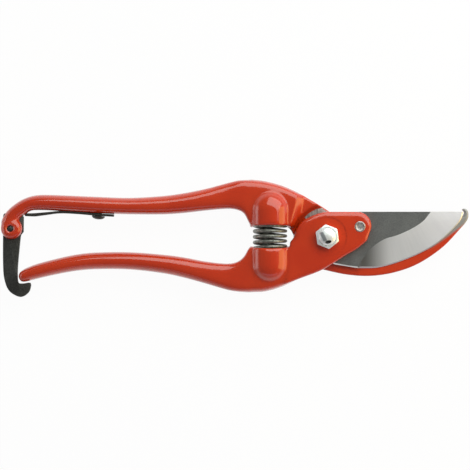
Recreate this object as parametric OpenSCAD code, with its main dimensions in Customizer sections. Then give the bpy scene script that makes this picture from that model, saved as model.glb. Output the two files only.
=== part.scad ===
// Bypass pruning shears with forged handles, lying closed and latched.
// X runs along the shears towards the blade's tip, Y across the handles and Z up through the pivot.
// The origin is on the pivot's axis, at the back face of the nut that the shears rest on.
// The upper handle (Y > 0) ends in the hooked jaw, the lower handle (Y < 0) carries the blade.

/* [Handles] */
// Distance along X from the pivot to the catch's pin
grip_reach = 155; // [148:0.5:162]
// Depth of each grip, front to back, at its thickest
grip_depth = 12.6; // [11.4:0.1:14]
// Depth of the flat shoulders round the spring
shoulder_depth = 10.4; // [9.6:0.1:11]
// Height of the shoulders above the pivot, at the spring
shoulder_rise = 28; // [27.2:0.1:29]

/* [Jaw and blade] */
// Distance from the pivot to the far end of the hooked jaw
jaw_reach = 69.8; // [64:0.1:76]
// Height of the blade's straight back above the pivot
back_rise = 12.2; // [11.8:0.1:12.8]
// Thickness of the hooked jaw
jaw_t = 4.7; // [4.2:0.1:5.4]
// Thickness of the blade
blade_t = 2.9; // [2.4:0.1:3.4]
// Thickness that the whetted edge is left at
edge_t = 0.4; // [0.3:0.1:0.8]
// Thickness of the lower handle's plate in front of the blade
plate_t = 4.0; // [3.4:0.1:4.6]
// Diameter of the rivet that holds the blade to the plate
blade_rivet_d = 5.3; // [4.4:0.1:6]

/* [Pivot] */
// Diameter of the bolt where the handles turn on it
pivot_d = 7; // [6.4:0.1:8]
// Diameter of the bolt's threaded end
thread_d = 6; // [5:0.5:6]
// Width of the bolt's head across its flats
bolt_af = 10.5; // [10:0.1:12]
// Height of the bolt's hexagon
bolt_h = 3.4; // [3:0.1:4.4]
// Height of the dome on the bolt's head
dome_h = 1.7; // [1:0.1:2]
// Width of the nut across its flats
nut_af = 10; // [9.5:0.1:12]
// Height of the nut
nut_h = 3.4; // [3:0.1:4]
// Thickness of the washer under the nut
washer_t = 1.1; // [0.8:0.1:1.4]

/* [Spring] */
// Distance from the pivot to the spring's axis
spring_x = 27.8; // [27.4:0.1:28.6]
// Outer diameter of the spring
spring_d = 17.2; // [15.4:0.1:17.4]
// Diameter of the spring's wire
wire_d = 1.9; // [1.5:0.1:2.1]
// Rise of each turn
spring_pitch = 2.5; // [2.4:0.1:3.2]
// Gap between the mouths of the two spring sockets
mouth_gap = 9.2; // [8.4:0.1:10]
// Depth of each spring socket
socket_depth = 12.4; // [11:0.1:14]

/* [Catch] */
// Thickness of the catch
catch_t = 3; // [2.4:0.1:3.4]
// Diameter of the catch's pin
pin_d = 3.2; // [2.6:0.1:3.6]
// Radius of the handle's end round the pin
lobe_r = 5.2; // [4.8:0.1:5.5]
// Thickness of the leaf spring that flicks the catch
leaf_t = 1.2; // [0.8:0.1:1.3]
// Width of the leaf spring
leaf_w = 5; // [4:0.1:6]
// Diameter of the leaf spring's rivet head
stud_head_d = 6.5; // [5.6:0.1:7]

/* [Fits] */
// Gap all round a pin or bolt that something turns on, and between plates that slide
running_gap = 0.05; // [0.03:0.01:0.09]
// Gap between moving parts that don't guide each other
clear_gap = 0.3; // [0.2:0.05:0.4]

/* [Hidden] */
$fn = 64;
eps = 0.01;

orange = [0.75, 0.22, 0.11];
steel = [0.68, 0.68, 0.67];
dark_steel = [0.25, 0.26, 0.26];
polished = [0.86, 0.87, 0.88];

// Levels through the pivot, from the nut's back face up
jaw_back = nut_h + washer_t;
jaw_front = jaw_back + jaw_t;
blade_back = jaw_front + running_gap;
blade_front = blade_back + blade_t;
plate_front = blade_front + plate_t;
bolt_seat_depth = 0.3;
bolt_seat = plate_front - bolt_seat_depth + running_gap;
// Plane that both handles are centred on, a little in front of the jaw
mid = jaw_front + 0.17 * jaw_t;
// Front of the painted flat between the upper shoulder and the recess for the blade
flat_front = blade_front - 0.2 * blade_t;
// Length of a cutter that passes right through
through = 3 * mid;

// How far the real outlines below are stretched: those round the pivot with the blade's back, the
// jaw's along X with its reach, the grips' with the shoulders' height, and the catch's with the
// handle's end. Each is 1 at the sizes above.
head = back_rise / 12.2;
jaw = jaw_reach / 69.8;
tall = shoulder_rise / 28;
lobe = lobe_r / 5.2;
function about_pivot(points) = [for (p = points) p * head];
function along_jaw(points) = [for (p = points) [p.x * jaw, p.y * head]];

// Circles about the pivot: the blade's round heel, the recess it turns in and the jaw's round head
heel_r = 12 * head;
recess_r = 14.5 * head;
recess_rim = 2 * head;
head_r = 16.3 * head;
neck_r = 11.4 * head;
bolt_seat_r = 9.8 * head;

// The two spring sockets face each other across the handles
spring_gap = 0.2;
boss_r = mid;
socket_r = spring_d / 2 + spring_gap;
upper_mouth = 0.49 * mouth_gap;
lower_mouth = upper_mouth - mouth_gap;
// Height of the dome's centre below the socket's floor
dome_drop = 0.38 * boss_r;

// The catch's pin, the X where the grips leave the shoulders, and the grips' length
pin = [-grip_reach, 3.9 * tall];
// The handle's round end is centred a little nearer the pivot than the pin is
lobe_centre = pin + [0.06 * lobe_r, 0];
grip_root = -1.76 * spring_x;
grip_length = grip_root - pin.x;
cheek_depth = 0.86 * grip_depth;
slot_r = 11 * lobe;

// A point at fraction f of a grip's length, at height y
function on_grip(f, y) = [grip_root - f * grip_length, y * tall];
// A point set off from the catch's pin
function off_pin(x, y) = pin + [x * lobe, y * tall];

// Smooth curve through rows of numbers, with a number of steps between one row and the next
function row_at(rows, i) =
  i < 0 ? 2 * rows[0] - rows[1]
  : i >= len(rows) ? 2 * rows[len(rows) - 1] - rows[len(rows) - 2]
  : rows[i];
function blend(a, b, c, d, t) =
  b + t / 2 * (c - a) + t * t / 2 * (2 * a - 5 * b + 4 * c - d) + t * t * t / 2 * (3 * b - a - 3 * c + d);
function smooth(rows, steps) = concat(
  [
    for (i = [0 : len(rows) - 2], k = [0 : steps - 1])
      blend(row_at(rows, i - 1), rows[i], rows[i + 1], row_at(rows, i + 2), k / steps)
  ],
  [rows[len(rows) - 1]]
);
function arc(centre, r, from, to, steps) =
  [for (k = [0 : steps]) let (a = from + (to - from) * k / steps) centre + r * [cos(a), sin(a)]];
function midpoints(list) = [for (i = [0 : len(list) - 2]) (list[i] + list[i + 1]) / 2];
function backwards(list) = [for (i = [len(list) - 1 : -1 : 0]) list[i]];

// A forged bar through rows of [outer x, outer y, inner x, inner y, half depth, squareness].
// Each ring of its surface is a rounded rectangle: squareness 2 is an ellipse, more is boxier.
// The outer edge is on the right of the way that the rows run.
module forged_bar(rows, steps, sides = 20) {
  rings = smooth(rows, steps);
  function power(v, p) = sign(v) * pow(abs(v), 2 / p);
  function ring(r) = [
    for (j = [0 : sides - 1])
      let (
        u = power(cos(360 * j / sides), r[5]),
        v = power(sin(360 * j / sides), r[5]),
        middle = ([r[0], r[1]] + [r[2], r[3]]) / 2,
        reach = ([r[0], r[1]] - [r[2], r[3]]) / 2
      )
      concat(middle + reach * u, mid + r[4] * v)
  ];
  points = [for (r = rings) each ring(r)];
  count = len(rings);
  walls = [
    for (i = [0 : count - 2], j = [0 : sides - 1])
      let (
        a = i * sides + j,
        b = i * sides + (j + 1) % sides
      )
      each [[a, b, b + sides], [a, b + sides, a + sides]]
  ];
  near_cap = [backwards([for (j = [0 : sides - 1]) j])];
  far_cap = [[for (j = [0 : sides - 1]) (count - 1) * sides + j]];
  polyhedron(points, concat(near_cap, walls, far_cap), convexity = 6);
}

// A rounded boss round a spring socket: along = 1 reaches up, -1 reaches down
module boss(mouth, along) {
  straight = socket_depth - dome_drop;
  translate([-spring_x, mouth, mid])
    rotate([-90 * along, 0, 0])
      rotate_extrude() {
        square([boss_r, straight]);
        translate([0, straight])
          intersection() {
            circle(r = boss_r);
            square(boss_r);
          }
      }
}

module socket(mouth, along) {
  translate([-spring_x, mouth - along * boss_r, mid])
    rotate([-90 * along, 0, 0])
      cylinder(h = boss_r + socket_depth, r = socket_r);
}

function grip_row(f, outer, inner, depth, square) =
  concat(on_grip(f, outer), on_grip(f, inner), depth * grip_depth / 2, square);
function end_row(outer, inner, depth) =
  concat(off_pin(outer.x, outer.y), off_pin(inner.x, inner.y), depth * grip_depth / 2, 2.3);
function shoulder_row(x, outer, inner, square) =
  [-x * spring_x, outer * shoulder_rise, -x * spring_x, inner, shoulder_depth / 2, square];

// Rows of the upper handle, from the crease beside the blade to the catch's pin
upper_rows = [
  [-12.0 * head, 20.3 * tall, -17.0 * head, upper_mouth, shoulder_depth / 2, 5],
  shoulder_row(0.79, 0.9, upper_mouth, 5),
  shoulder_row(1.08, 0.975, upper_mouth, 5),
  shoulder_row(1.295, 1, upper_mouth, 5),
  shoulder_row(1.375, 1, 6.8 * tall, 5),
  shoulder_row(1.46, 0.996, 11.2 * tall, 5),
  shoulder_row(1.575, 0.986, 13.0 * tall, 4.2),
  grip_row(0, 26.3, 13.6, 0.83, 3.4),
  grip_row(0.10, 23.5, 12.7, 0.93, 2.9),
  grip_row(0.20, 21.4, 11.5, 0.98, 2.6),
  grip_row(0.30, 20.0, 10.85, 1, 2.5),
  grip_row(0.45, 19.1, 10.9, 1, 2.4),
  grip_row(0.60, 19.6, 11.45, 1, 2.4),
  grip_row(0.80, 20.5, 12.75, 1, 2.4),
  grip_row(0.88, 20.4, 12.9, 0.98, 2.4),
  end_row([7.0, 15.0], [9.6, 8.6], 0.96),
  end_row([2.4, 12.4], [7.2, 7.1], 0.92),
  end_row([-1.9, 8.7], [5.5, 5.0], 0.89),
  end_row([-4.6, 4.2], [4.7, 2.3], 0.87),
  end_row([-4.9, 0], [4.9, 0], 0.86)
];

// Rows of the lower handle, from its tip to the crease on its back
lower_rows = [
  end_row([4.1, -24.7], [3.7, -23.3], 0.29),
  end_row([4.8, -25.7], [4.1, -21.9], 0.59),
  end_row([6.1, -26.2], [5.0, -20.8], 0.78),
  end_row([9.0, -25.65], [7.4, -19.3], 0.87),
  grip_row(0.88, -20.8, -13.35, 0.93, 2.4),
  grip_row(0.80, -18.85, -11.05, 0.97, 2.4),
  grip_row(0.70, -16.9, -8.75, 1, 2.4),
  grip_row(0.60, -16.05, -7.7, 1, 2.4),
  grip_row(0.45, -16.2, -7.6, 1, 2.4),
  grip_row(0.30, -18.0, -8.75, 1, 2.5),
  grip_row(0.20, -20.2, -10.1, 0.98, 2.6),
  grip_row(0.10, -23.1, -12.1, 0.93, 2.9),
  grip_row(0, -26.2, -13.2, 0.83, 3.4),
  shoulder_row(1.575, -0.97, -12.2 * tall, 4.2),
  shoulder_row(1.46, -0.98, -9.6 * tall, 5),
  shoulder_row(1.375, -0.982, -5.6 * tall, 5),
  shoulder_row(1.295, -0.98, lower_mouth, 5),
  shoulder_row(1.08, -0.965, lower_mouth, 5),
  shoulder_row(0.79, -0.893, lower_mouth, 5),
  [-12.0 * head, -20.9 * tall, -17.0 * head, lower_mouth, shoulder_depth / 2, 5]
];

// The jaw's outer edge from the head's underside to the hook, and its hollow inner edge back
jaw_outer = smooth(along_jaw([
  [-2.1, -16.2], [9.7, -18.7], [21.5, -19.4], [33.3, -17.7], [45.1, -13.4], [56.9, -5.5], [65.7, 3.7],
  [69.2, 8.0], [69.8, 10.8], [69.3, 12.9], [68.1, 13.8], [66.6, 13.6]
]), 4);
jaw_inner = smooth(along_jaw([
  [66.5, 12.9], [67.7, 12.5], [67.6, 11.2], [66.0, 9.4], [58.0, 5.4], [50.0, -0.6], [42.0, -5.4],
  [33.0, -9.2], [22.0, -10.6], [14.0, -7.0]
]), 4);

// The upper handle's flat head beside the crease, open to the notch beside the spring
module upper_head_outline() {
  polygon(concat(
    [
      [-17.6 * head, 21.5 * tall], [-22 * head, 12 * tall], [-20 * head, upper_mouth + eps],
      [-18.9 * head, upper_mouth + eps], [-17.4 * head, 0.67 * upper_mouth]
    ],
    about_pivot([[-16.2, 0.4], [0, 0.4]]),
    arc([0, 0], neck_r, 0, 68, 8),
    about_pivot([[0.9, 12.7], [-2.1, 14.7]]),
    [[-8 * head, 18.1 * tall], [-12.2 * head, 20.0 * tall]]
  ));
}

module jaw_outline() {
  polygon(concat(
    jaw_outer,
    jaw_inner,
    arc([0, 0], neck_r, -20, 68, 10),
    about_pivot([[0.9, 12.7], [-2.1, 14.7]]),
    arc([0, 0], head_r, 125, 263, 20)
  ));
}

// The blade's edge from the tip to the heel, and the line where the grind starts
blade_edge = smooth(along_jaw([
  [67.2, 12.2], [65.9, 8.2], [61.7, 3.2], [52.8, -4.4], [39.6, -10.9], [26.2, -15.0], [15.8, -15.5]
]), 5);
grind_line = smooth(along_jaw([
  [51.0, 12.2], [47.2, 7.6], [41.6, 3.9], [34.5, 0.7], [27.5, -1.6], [20.6, -6.9], [14.6, -15.5]
]), 5);

module blade_outline() {
  polygon(concat(
    blade_edge,
    along_jaw([[4.0, -13.6]]),
    arc([0, 0], heel_r, 270, 100, 24),
    about_pivot([[0, 12.2]])
  ));
}

// What the grinding wheel takes off in front of the blade, down to the edge.
// Both rails run a little past the blade's back and heel.
module grind() {
  line = concat(along_jaw([[53.4, 14.2]]), midpoints(grind_line), along_jaw([[13.6, -17.6]]));
  edge = concat(along_jaw([[69.2, 14.4]]), midpoints(blade_edge), along_jaw([[15.6, -17.8]]));
  count = len(edge);
  low = blade_back + edge_t;
  top = blade_front + 1;
  beyond = 0.3;
  function rail(f, z) = [for (i = [0 : count - 1]) concat(line[i] + f * (edge[i] - line[i]), z)];
  points = concat(
    rail(0, blade_front),
    rail(1 + beyond, low - beyond * (blade_front - low)),
    rail(0, top),
    rail(1 + beyond, top)
  );
  // Strips of two triangles between two rails of points, given by each rail's first index
  function strip(a, b) = [
    for (i = [0 : count - 2]) each [[a + i, a + i + 1, b + i + 1], [a + i, b + i + 1, b + i]]
  ];
  ends = [
    [0, 2 * count, 3 * count, count],
    [count - 1, 2 * count - 1, 4 * count - 1, 3 * count - 1]
  ];
  polyhedron(
    points,
    concat(
      strip(0, count), strip(count, 3 * count), strip(3 * count, 2 * count), strip(2 * count, 0),
      [backwards(ends[0])], [backwards(ends[1])]
    ),
    convexity = 4
  );
}

// The plate that carries the blade: a rounded nose over the rivet, a straight top and a long underside
nose = [14.9, 5.3] * head;
nose_r = 6.9 * head;
rivet_at = [16.1, 4.9] * head;
module plate_outline() {
  polygon(concat(
    about_pivot([[-16.1, 0.1], [-15.4, 3.0], [-13.6, 5.9], [-10.9, 8.4], [-7.2, 10.3], [-4.2, 11.4]]),
    about_pivot([[-1.2, 12.2]]),
    arc(nose, nose_r, 90, -30, 12),
    smooth(concat(
      about_pivot([[19.5, -2.1], [14.5, -6.1], [8.5, -9.6], [-2.1, -16.2]]),
      [[-13 * head, -20.6 * tall], [-20 * head, -22.0 * tall]]
    ), 3),
    [[-21 * head, -12 * tall], [-20.7 * head, lower_mouth], [-18.3 * head, 0.6 * lower_mouth]],
    [[-16.7 * head, 0.22 * lower_mouth]]
  ));
}

// Top face of the leaf spring, from its free tip to the end beyond its rivet
function on_leaf(along, y) = [pin.x + along * grip_length, pin.y + y * tall];
stud_at = on_leaf(0.405, 7.48);
stud_tilt = 5;
leaf_top = smooth([
  off_pin(6.9, 7.55), on_leaf(0.104, 7.4), on_leaf(0.142, 7.75), on_leaf(0.18, 8.5),
  on_leaf(0.23, 8.9), on_leaf(0.30, 8.42), stud_at, on_leaf(0.477, 7.05)
], 5);

// The leaf spring's side view, reaching down from its top face by a given depth
module leaf_side(depth) {
  polygon(concat(leaf_top, [for (p = backwards(leaf_top)) p - [0, depth]]));
}

// How far the leaf spring's rivet reaches from the leaf's underside into the grip
stud_reach = leaf_t + 0.6 * stud_head_d;

// Places what stands on the leaf spring's rivet axis, Z pointing into the grip
module at_stud() {
  translate([stud_at.x, stud_at.y - leaf_t, mid])
    rotate([-90, 0, -stud_tilt])
      children();
}

module upper_handle() {
  color(orange)
    difference() {
      union() {
        forged_bar(upper_rows, 3);
        boss(upper_mouth, 1);
        translate([lobe_centre.x, lobe_centre.y, mid - cheek_depth / 2])
          cylinder(h = cheek_depth, r = lobe_r);
        translate([0, 0, jaw_back])
          linear_extrude(flat_front - jaw_back)
            upper_head_outline();
        translate([0, 0, jaw_back])
          linear_extrude(jaw_t)
            jaw_outline();
      }
      socket(upper_mouth, 1);
      // The sunk round that the blade's heel turns in
      translate([0, 0, jaw_front])
        cylinder(h = flat_front - jaw_front, r1 = recess_r, r2 = recess_r + recess_rim);
      translate([0, 0, flat_front - eps])
        cylinder(h = through, r = recess_r + recess_rim);
      cylinder(h = through, d = pivot_d + 2 * running_gap);
      // The slot for the catch, and its pin's hole through both cheeks
      translate([pin.x, pin.y, mid - catch_t / 2 - running_gap])
        cylinder(h = catch_t + 2 * running_gap, r = slot_r);
      translate([pin.x, pin.y, 0])
        cylinder(h = through, d = pin_d);
      // The flat that the leaf spring is riveted to
      translate([0, 0, mid - grip_depth])
        linear_extrude(2 * grip_depth)
          intersection() {
            leaf_side(5 * leaf_t);
            translate([on_leaf(0.19, 0).x, 0])
              square(grip_length / 2);
          }
      at_stud()
        cylinder(h = stud_reach, d = stud_head_d / 2);
    }
}

module lower_handle() {
  color(orange)
    difference() {
      union() {
        difference() {
          union() {
            forged_bar(lower_rows, 3);
            boss(lower_mouth, -1);
          }
          // Room for the upper handle's round head to turn behind the plate
          cylinder(h = blade_front, r = head_r + clear_gap);
        }
        translate([0, 0, blade_front])
          linear_extrude(plate_t)
            plate_outline();
      }
      socket(lower_mouth, -1);
      translate([0, 0, plate_front - bolt_seat_depth])
        cylinder(h = through, r = bolt_seat_r);
      cylinder(h = through, d = pivot_d + 2 * running_gap);
      translate([rivet_at.x, rivet_at.y, 0])
        cylinder(h = through, d = blade_rivet_d);
    }
}

module cutting_blade() {
  color(steel)
    difference() {
      translate([0, 0, blade_back])
        linear_extrude(blade_t)
          blade_outline();
      grind();
      cylinder(h = through, d = pivot_d + 2 * running_gap);
      translate([rivet_at.x, rivet_at.y, 0])
        cylinder(h = through, d = blade_rivet_d);
    }
}

// Headless rivet, peened with a punch that leaves a ring
module blade_rivet() {
  proud = 0.25;
  punch_depth = 0.2;
  color(steel)
    translate([rivet_at.x, rivet_at.y, blade_back])
      difference() {
        cylinder(h = plate_front + proud - blade_back, d = blade_rivet_d);
        translate([0, 0, plate_front + proud - punch_depth - blade_back])
          cylinder(h = 2 * punch_depth, d = blade_rivet_d * 0.6);
      }
}

// Hexagon with its top corners turned off
module hexagon(af, h, turn) {
  corner = af / cos(30);
  intersection() {
    rotate(turn)
      cylinder(h = h, d = corner, $fn = 6);
    cylinder(h = h, d1 = corner + 3 * h, d2 = af * 1.02);
  }
}

module pivot_bolt() {
  hex_turn = 36;
  dome_d = bolt_af * 0.9;
  dome_r = (pow(dome_d / 2, 2) + dome_h * dome_h) / (2 * dome_h);
  color(polished) {
    translate([0, 0, bolt_seat])
      hexagon(bolt_af, bolt_h, hex_turn);
    translate([0, 0, bolt_seat + bolt_h])
      intersection() {
        translate([0, 0, dome_h - dome_r])
          sphere(r = dome_r);
        cylinder(h = dome_h, d = dome_d);
      }
    translate([0, 0, jaw_back])
      cylinder(h = bolt_seat - jaw_back, d = pivot_d);
    cylinder(h = jaw_back, d = thread_d);
  }
}

module pivot_washer() {
  color(steel)
    translate([0, 0, nut_h])
      difference() {
        cylinder(h = washer_t, d = nut_af * 1.25);
        cylinder(h = through, d = thread_d, center = true);
      }
}

module pivot_nut() {
  color(steel)
    difference() {
      translate([0, 0, nut_h])
        mirror([0, 0, 1])
          hexagon(nut_af, nut_h, 0);
      cylinder(h = through, d = thread_d, center = true);
    }
}

// Coil spring, whose first and last turns lie nearly closed against the socket floors
module main_spring() {
  sides = 6;
  per_turn = 18;
  floor_gap = 0.03;
  end_pitch = wire_d + 0.08;
  low = lower_mouth - socket_depth + wire_d / 2 + floor_gap;
  high = upper_mouth + socket_depth - wire_d / 2 - floor_gap;
  turns = 2 + (high - low - 2 * end_pitch) / spring_pitch;
  steps = round(turns * per_turn);
  coil_r = (spring_d - wire_d) / 2;
  function rise(t) =
    t < 1 ? t * end_pitch
    : t > turns - 1 ? high - low - (turns - t) * end_pitch
    : end_pitch + (t - 1) * spring_pitch;
  function ring(i) =
    let (t = turns * i / steps, a = 360 * t)
    [
      for (j = [0 : sides - 1])
        let (b = 360 * j / sides, r = coil_r + wire_d / 2 * cos(b))
        [-spring_x + r * cos(a), low + rise(t) + wire_d / 2 * sin(b), mid - r * sin(a)]
    ];
  points = [for (i = [0 : steps]) each ring(i)];
  walls = [
    for (i = [0 : steps - 1], j = [0 : sides - 1])
      let (
        a = i * sides + j,
        b = i * sides + (j + 1) % sides
      )
      each [[a, b + sides, b], [a, a + sides, b + sides]]
  ];
  near_cap = [[for (j = [0 : sides - 1]) j]];
  far_cap = [backwards([for (j = [0 : sides - 1]) steps * sides + j])];
  color(dark_steel)
    polyhedron(points, concat(near_cap, walls, far_cap), convexity = 10);
}

// The catch hangs from its pin and hooks round the lower handle's tip.
// Its squared top is the cam that the leaf spring's tip bears on.
module catch() {
  function placed(rows) = [for (r = rows) [r.x * lobe, r.y * tall]];
  outer = smooth(placed([
    [-3.8, 0], [-3.8, -16.9], [-3.1, -25.0], [-0.6, -30.7], [4.7, -33.5], [8.6, -31.4], [9.8, -28.2],
    [9.6, -26.55]
  ]), 4);
  inner = smooth(placed([[3.4, -26.5], [3.0, -24.5], [3.1, -18.5], [4.6, -5.6], [5.0, -3.0]]), 3);
  color(dark_steel)
    translate([pin.x, pin.y, mid - catch_t / 2])
      difference() {
        linear_extrude(catch_t)
          polygon(concat(
            outer,
            placed([[8.4, -26.5], [6.2, -26.9], [4.2, -26.9]]),
            inner,
            placed([[6.2, -1.6], [6.3, 5.9], [5.4, 6.5], [-3.0, 7.6], [-3.8, 7.0]])
          ));
        cylinder(h = through, d = pin_d + 2 * running_gap, center = true);
      }
}

// Pin pressed into both cheeks, its ends a little below them
module catch_pin() {
  sunk = 0.5;
  color(steel)
    translate([pin.x, pin.y, mid - cheek_depth / 2 + sunk])
      cylinder(h = cheek_depth - 2 * sunk, d = pin_d);
}

// Leaf spring, cut narrow at its free tip to fit between the cheeks
module catch_spring() {
  narrow = 0.104 * grip_length;
  wide = 0.19 * grip_length;
  side = [[0, catch_t / 2], [narrow, catch_t / 2], [wide, leaf_w / 2], [grip_length, leaf_w / 2]];
  color(dark_steel)
    difference() {
      intersection() {
        translate([0, 0, mid - leaf_w / 2])
          linear_extrude(leaf_w)
            leaf_side(leaf_t);
        translate([pin.x, pin.y, mid])
          rotate([-90, 0, 0])
            linear_extrude(grip_length)
              polygon(concat(side, [for (p = backwards(side)) [p.x, -p.y]]));
      }
      at_stud()
        cylinder(h = through, d = stud_head_d / 2, center = true);
    }
}

// Domed rivet that holds the leaf spring against the grip, its head just clear of the curved leaf
module catch_spring_rivet() {
  lift = 0.04;
  head_h = 0.26 * stud_head_d;
  dome_r = (pow(stud_head_d / 2, 2) + head_h * head_h) / (2 * head_h);
  color(dark_steel)
    at_stud() {
      translate([0, 0, -lift])
        cylinder(h = stud_reach + lift, d = stud_head_d / 2);
      intersection() {
        translate([0, 0, dome_r - head_h - lift])
          sphere(r = dome_r);
        translate([0, 0, -head_h - lift])
          cylinder(h = head_h, d = stud_head_d);
      }
    }
}

upper_handle();
lower_handle();
cutting_blade();
blade_rivet();
pivot_bolt();
pivot_washer();
pivot_nut();
main_spring();
catch();
catch_pin();
catch_spring();
catch_spring_rivet();
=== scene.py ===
from math import copysign, cos, pi, radians, sin

import bmesh
import bpy
from mathutils import Matrix, Vector


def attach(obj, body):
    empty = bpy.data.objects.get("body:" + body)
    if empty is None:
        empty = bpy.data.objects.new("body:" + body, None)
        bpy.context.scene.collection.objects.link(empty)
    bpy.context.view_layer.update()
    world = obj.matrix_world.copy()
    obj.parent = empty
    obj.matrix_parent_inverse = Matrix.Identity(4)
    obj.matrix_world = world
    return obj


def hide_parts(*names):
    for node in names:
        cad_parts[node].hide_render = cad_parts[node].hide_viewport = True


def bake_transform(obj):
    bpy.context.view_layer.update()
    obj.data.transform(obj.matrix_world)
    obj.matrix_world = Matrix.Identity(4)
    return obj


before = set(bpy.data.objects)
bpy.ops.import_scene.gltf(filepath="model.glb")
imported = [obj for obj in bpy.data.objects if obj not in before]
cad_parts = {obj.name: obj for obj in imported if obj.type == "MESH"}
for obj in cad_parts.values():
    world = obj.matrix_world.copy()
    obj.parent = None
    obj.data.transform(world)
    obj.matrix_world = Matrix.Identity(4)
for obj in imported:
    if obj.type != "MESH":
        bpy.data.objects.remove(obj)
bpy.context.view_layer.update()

# Upper handle: one steel forging, from the lobe round the catch's pin, along the grip and the shoulder
# with its spring boss, to the round head and the hooked jaw. It is dipped in orange enamel, which is worn
# off the jaw's tip. The head's floor, where the blade turns, is ground bare.
PER_METRE = 1000  # every mesh is drawn in millimetres
MID = 10.0  # height of the plane that both handles are forged about
BELOW, ABOVE = -1, 30  # heights that are clear of the shears
PIN = Vector((-155.0, 3.9, MID))
PIVOT = Vector((0, 0, 0))
AT_PIN = Matrix.Translation((*PIN.xy, 0))
PIVOT_HOLE, PIN_HOLE = 3.55, 1.6
JAW_BACK, JAW_FRONT, FLAT_FRONT = 4.5, 9.2, 11.57
JAW_FACE, HEAD_FLOOR = JAW_FRONT - 0.1, JAW_FRONT - 0.05
HEAD_RADIUS, FLOOR_RADIUS = 11.4, 14.4
RECESS_FOOT, RECESS_RADIUS = 14.5, 16.6  # its wall slopes outwards
BOSS = {"x": -27.8, "radius": 10.0, "straight": 8.6}
SOCKET = {"radius": 8.8, "depth": 12.4}
UPPER_MOUTH = 4.5
SLOT = {"reach": 11, "half": 1.55}  # the catch hangs in it
ROUND, DRAFT = 2.1, 0.032  # an oval's squareness, and how far a squarer flank slopes out of the dies
WELD = 1e-4


def curve_through(rows, steps):
    """A smooth curve through rows of numbers, with a number of steps from one row to the next."""
    first = [2 * a - b for a, b in zip(rows[0], rows[1])]
    last = [2 * a - b for a, b in zip(rows[-1], rows[-2])]
    ends = [first, *rows, last]
    curve = []
    for a, b, c, d in zip(ends, ends[1:], ends[2:], ends[3:]):
        for t in (k / steps for k in range(steps)):
            point = []
            for p, q, r, s in zip(a, b, c, d):
                bow, swing = 2 * p - 5 * q + 4 * r - s, 3 * q - p - 3 * r + s
                point.append(q + t / 2 * (r - p) + t**2 / 2 * bow + t**3 / 2 * swing)
            curve.append(point)
    return curve + [list(rows[-1])]


def arc(centre, radius, start, end, steps):
    """Points round part of a circle, between two angles in degrees."""
    turns = (radians(start + (end - start) * k / steps) for k in range(steps + 1))
    return [(centre[0] + radius * cos(a), centre[1] + radius * sin(a)) for a in turns]


def only(kind, geom):
    """The parts of one kind in what an operator made."""
    return [g for g in geom if isinstance(g, kind)]


def ring_edges(ring):
    """The edges that lie between a ring's own vertices."""
    own = set(ring)
    return [e for e in {e for v in ring for e in v.link_edges} if own.issuperset(e.verts)]


def drawn_bar(rows, steps=6, sides=56):
    """A bar drawn out through rows of (outer x, outer y, inner x, inner y, half depth, squareness)."""
    bm = bmesh.new()
    rings = []
    for outer_x, outer_y, inner_x, inner_y, half, square in curve_through(rows, steps):
        middle = Vector(((outer_x + inner_x) / 2, (outer_y + inner_y) / 2, MID))
        reach = Vector(((outer_x - inner_x) / 2, (outer_y - inner_y) / 2, 0))
        draft = DRAFT * (square - ROUND)
        ring = bmesh.ops.create_circle(bm, segments=sides, radius=1)["verts"]
        for v in ring:
            across, up = (copysign(min(abs(t), 1) ** (2 / square), t) for t in v.co.xy)
            if across > 0:
                across *= 1 - draft * abs(up)
            v.co = middle + reach * across + Vector((0, 0, half * up))
        rings.append(ring)
    for near, far in zip(rings, rings[1:]):
        bmesh.ops.bridge_loops(bm, edges=ring_edges(near) + ring_edges(far))
    for ring in (rings[0], rings[-1]):
        bmesh.ops.edgeloop_fill(bm, edges=ring_edges(ring))
    bmesh.ops.recalc_face_normals(bm, faces=bm.faces)
    return bm


def plate(outline, low, high, rims=()):
    """A flat plate. Its upper edge can fall away in rims of (width, fall), outermost first."""
    bm = bmesh.new()
    face = bm.faces.new([bm.verts.new((x, y, low)) for x, y in outline])
    face.normal_update()
    raised = bmesh.ops.extrude_face_region(bm, geom=[face])["geom"]
    bmesh.ops.translate(
        bm,
        vec=(0, 0, high - low - sum(fall for _, fall in rims)),
        verts=only(bmesh.types.BMVert, raised),
    )
    bmesh.ops.recalc_face_normals(bm, faces=bm.faces)
    top = only(bmesh.types.BMFace, raised)
    for width, fall in rims:
        bmesh.ops.inset_region(bm, faces=top, thickness=width, depth=fall, use_even_offset=True)
    return bm


def turned(profile, place=Matrix(), facets=72):
    """A round piece, turned from a profile of (radius, height) points. place moves it from the Z axis."""
    bm = bmesh.new()
    verts = [bm.verts.new((r, 0, h)) for r, h in profile]
    edges = [bm.edges.new(pair) for pair in zip(verts, verts[1:])]
    if profile[0][0] > 0 and profile[-1][0] > 0:
        edges.append(bm.edges.new((verts[-1], verts[0])))
    bmesh.ops.spin(
        bm, geom=verts + edges, cent=(0, 0, 0), axis=(0, 0, 1), angle=2 * pi, steps=facets, use_merge=True
    )
    bmesh.ops.remove_doubles(bm, verts=bm.verts, dist=WELD)
    bmesh.ops.recalc_face_normals(bm, faces=bm.faces)
    bmesh.ops.transform(bm, matrix=place, verts=bm.verts)
    return bm


def rod(radius, low, high, place=Matrix()):
    """A plain round rod, or what a drill takes out."""
    return turned([(0, low), (radius, low), (radius, high), (0, high)], place)


def lying(x, y, towards=1):
    """Where a turned piece lies along the shears' Y: towards = 1 points it up, -1 down."""
    return Matrix.Translation((x, y, MID)) @ Matrix.Rotation(-towards * pi / 2, 4, "X")


def spring_boss(mouth, towards):
    """The domed boss that holds one end of the main spring. It opens at its mouth."""
    dome = arc((0, BOSS["straight"]), BOSS["radius"], 0, 90, 20)
    return turned([(0, 0), (BOSS["radius"], 0), *dome], lying(BOSS["x"], mouth, towards))


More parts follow.
